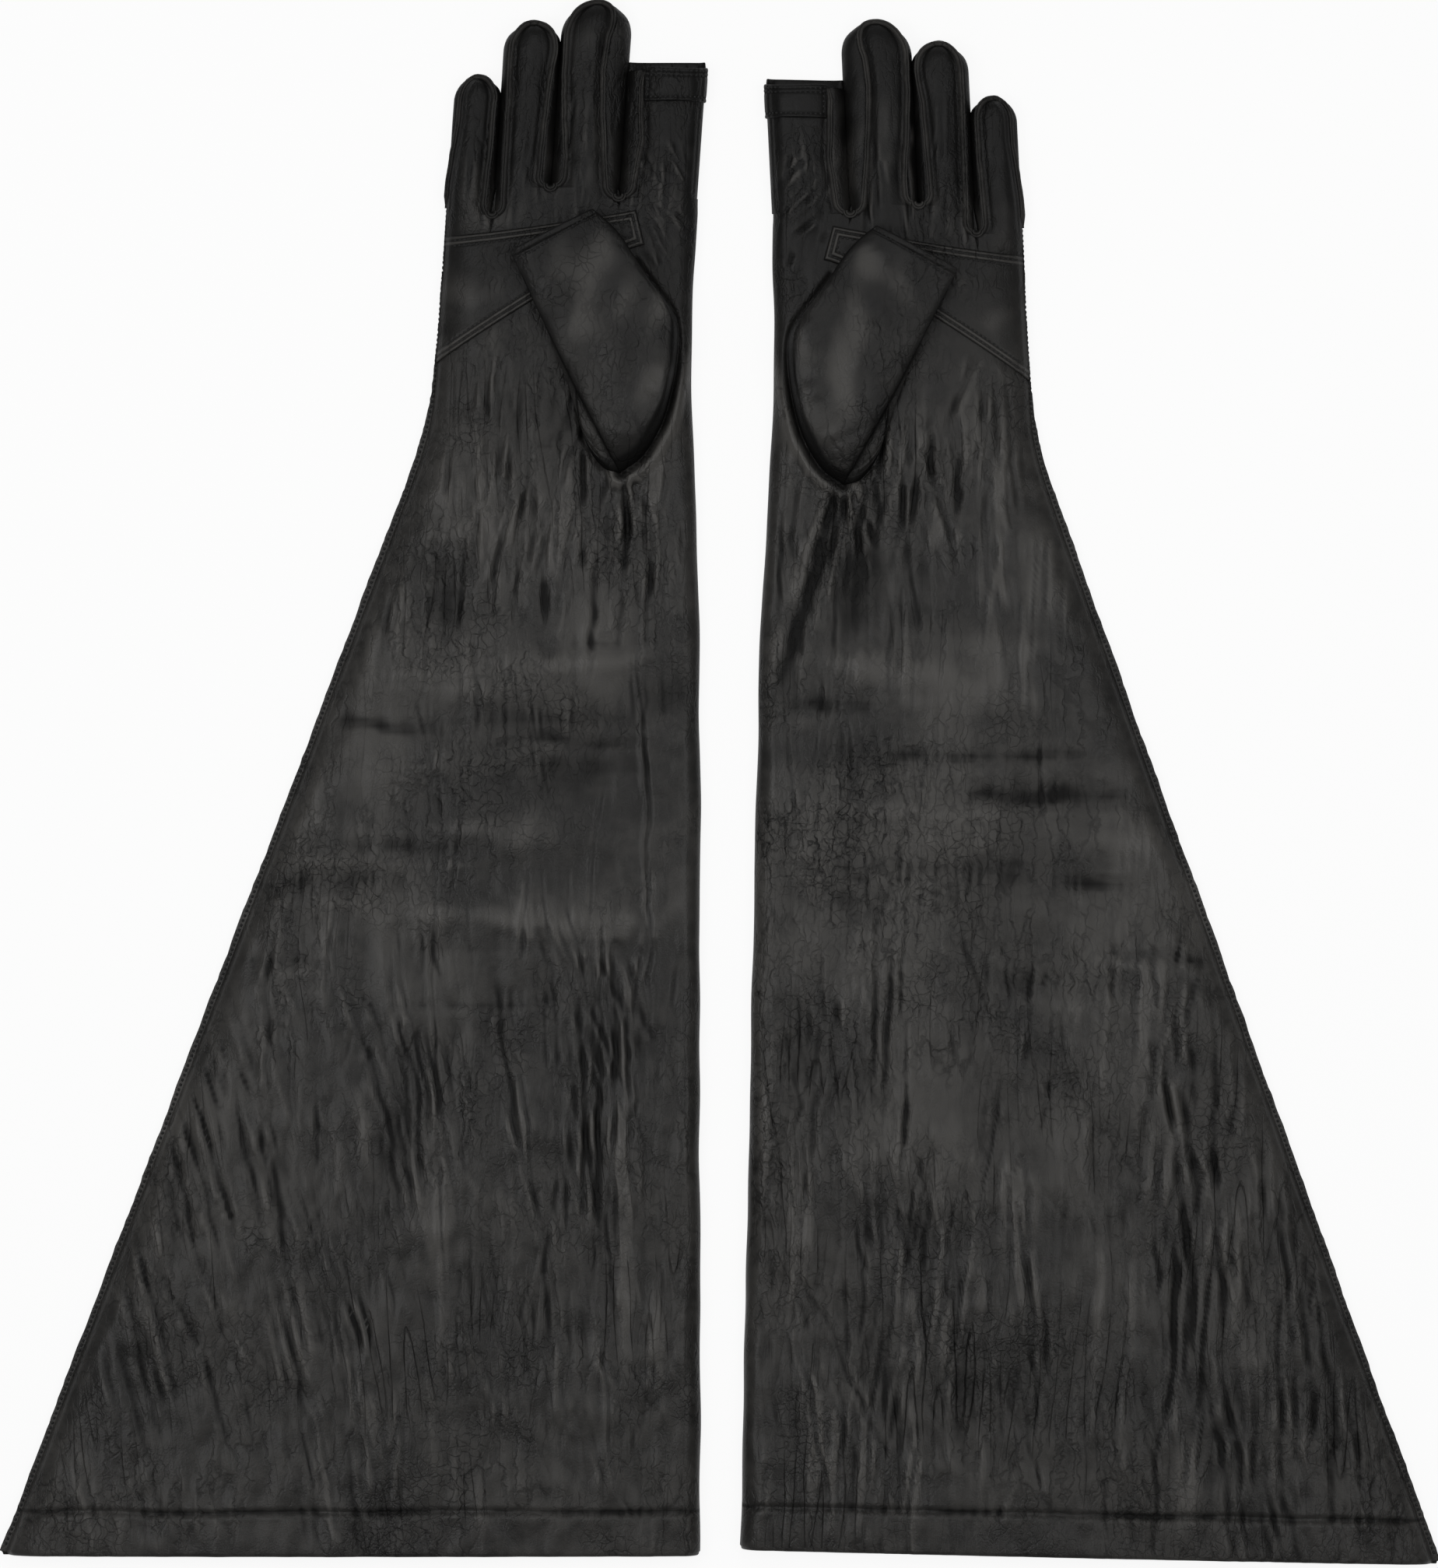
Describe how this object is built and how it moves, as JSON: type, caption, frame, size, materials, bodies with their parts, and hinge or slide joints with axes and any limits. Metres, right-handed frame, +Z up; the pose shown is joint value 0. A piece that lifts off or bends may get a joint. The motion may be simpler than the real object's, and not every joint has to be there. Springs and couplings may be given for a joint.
{
  "type": "leather gauntlet gloves",
  "caption": "Long flared leather gauntlet gloves lying palm up, with a cut-off index finger, an open thumb folded over the palm, a sewn palm patch and outseam fingers.",
  "frame": {"origin": "centre of the pair's bounding box on the table, under both gloves", "axes": "+Y from the hems towards the fingertips, +X from the right-hand glove to the left-hand glove, +Z up from the table, out of the palms"},
  "size_m": [0.5574, 0.6036, 0.0244],
  "materials": {
    "hide": "soft black grain leather with a low sheen",
    "strip": "soft black grain leather with a low sheen",
    "thread": "matt black sewing thread"
  },
  "bodies": {
    "right_cuff": {"right_gauntlet": "hide", "right_cuff_hem": "strip", "right_gauntlet_seam_thread": "thread"},
    "right_hand": {"right_hand_trank": "hide", "right_hand_seam_thread": "thread", "right_palm_patch": "strip", "right_patch_thread": "thread", "right_thumb_gusset": "strip", "right_little_ring_crotch": "strip", "right_ring_middle_crotch": "strip", "right_middle_index_crotch": "strip"},
    "right_thumb": {"right_thumb_stall": "hide", "right_thumb_hem": "strip", "right_thumb_thread": "thread"},
    "right_index": {"right_index_stall": "hide", "right_index_fourchette": "strip", "right_index_band": "strip", "right_index_band_thread": "thread"},
    "right_middle": {"right_middle_palm_panel": "hide", "right_middle_back_panel": "hide", "right_middle_inner_fourchette": "strip", "right_middle_outer_fourchette": "strip"},
    "right_ring": {"right_ring_palm_panel": "hide", "right_ring_back_panel": "hide", "right_ring_inner_fourchette": "strip", "right_ring_outer_fourchette": "strip"},
    "right_little": {"right_little_palm_panel": "hide", "right_little_back_panel": "hide", "right_little_fourchette": "strip"},
    "left_cuff": {"left_gauntlet": "hide", "left_cuff_hem": "strip", "left_gauntlet_seam_thread": "thread"},
    "left_hand": {"left_hand_trank": "hide", "left_hand_seam_thread": "thread", "left_palm_patch": "strip", "left_patch_thread": "thread", "left_thumb_gusset": "strip", "left_little_ring_crotch": "strip", "left_ring_middle_crotch": "strip", "left_middle_index_crotch": "strip"},
    "left_thumb": {"left_thumb_stall": "hide", "left_thumb_hem": "strip", "left_thumb_thread": "thread"},
    "left_index": {"left_index_stall": "hide", "left_index_fourchette": "strip", "left_index_band": "strip", "left_index_band_thread": "thread"},
    "left_middle": {"left_middle_palm_panel": "hide", "left_middle_back_panel": "hide", "left_middle_inner_fourchette": "strip", "left_middle_outer_fourchette": "strip"},
    "left_ring": {"left_ring_palm_panel": "hide", "left_ring_back_panel": "hide", "left_ring_inner_fourchette": "strip", "left_ring_outer_fourchette": "strip"},
    "left_little": {"left_little_palm_panel": "hide", "left_little_back_panel": "hide", "left_little_fourchette": "strip"}
  },
  "joints": [
    {"name": "right_wrist", "type": "hinge", "parent": "right_cuff", "child": "right_hand", "pos_m": [-0.06267, 0.10978, 0.012], "axis": [1, 0, 0], "range_deg": [0, 80]},
    {"name": "right_thumb_fold", "type": "hinge", "parent": "right_hand", "child": "right_thumb", "pos_m": [-0.02767, 0.15043, 0.02399], "axis": [0.3822, 0.9241, 0], "range_deg": [0, 150]},
    {"name": "right_index_bend", "type": "hinge", "parent": "right_hand", "child": "right_index", "pos_m": [-0.0235, 0.22528, 0.012], "axis": [1, 0, 0], "range_deg": [0, 90]},
    {"name": "right_middle_bend", "type": "hinge", "parent": "right_hand", "child": "right_middle", "pos_m": [-0.05197, 0.22928, 0.012], "axis": [1, 0, 0], "range_deg": [0, 90]},
    {"name": "right_ring_bend", "type": "hinge", "parent": "right_hand", "child": "right_ring", "pos_m": [-0.07617, 0.22928, 0.012], "axis": [1, 0, 0], "range_deg": [0, 90]},
    {"name": "right_little_bend", "type": "hinge", "parent": "right_hand", "child": "right_little", "pos_m": [-0.0972, 0.21878, 0.012], "axis": [1, 0, 0], "range_deg": [0, 90]},
    {"name": "left_wrist", "type": "hinge", "parent": "left_cuff", "child": "left_hand", "pos_m": [0.07156, 0.10475, 0.012], "axis": [0.9998, -0.022, 0], "range_deg": [0, 80]},
    {"name": "left_thumb_fold", "type": "hinge", "parent": "left_hand", "child": "left_thumb", "pos_m": [0.03744, 0.14555, 0.02399], "axis": [0.3568, -0.9342, 0], "range_deg": [0, 150]},
    {"name": "left_index_bend", "type": "hinge", "parent": "left_hand", "child": "left_index", "pos_m": [0.0349, 0.21935, 0.012], "axis": [0.9998, -0.022, 0], "range_deg": [0, 90]},
    {"name": "left_middle_bend", "type": "hinge", "parent": "left_hand", "child": "left_middle", "pos_m": [0.06345, 0.22267, 0.012], "axis": [0.9998, -0.022, 0], "range_deg": [0, 90]},
    {"name": "left_ring_bend", "type": "hinge", "parent": "left_hand", "child": "left_ring", "pos_m": [0.08764, 0.22214, 0.012], "axis": [0.9998, -0.022, 0], "range_deg": [0, 90]},
    {"name": "left_little_bend", "type": "hinge", "parent": "left_hand", "child": "left_little", "pos_m": [0.10844, 0.21133, 0.012], "axis": [0.9998, -0.022, 0], "range_deg": [0, 90]},
    {"name": "left_glove_lift", "type": "slide", "parent": "right_cuff", "child": "left_cuff", "axis": [0, 0, 1], "range_m": [0, 0.3]}
  ]
}
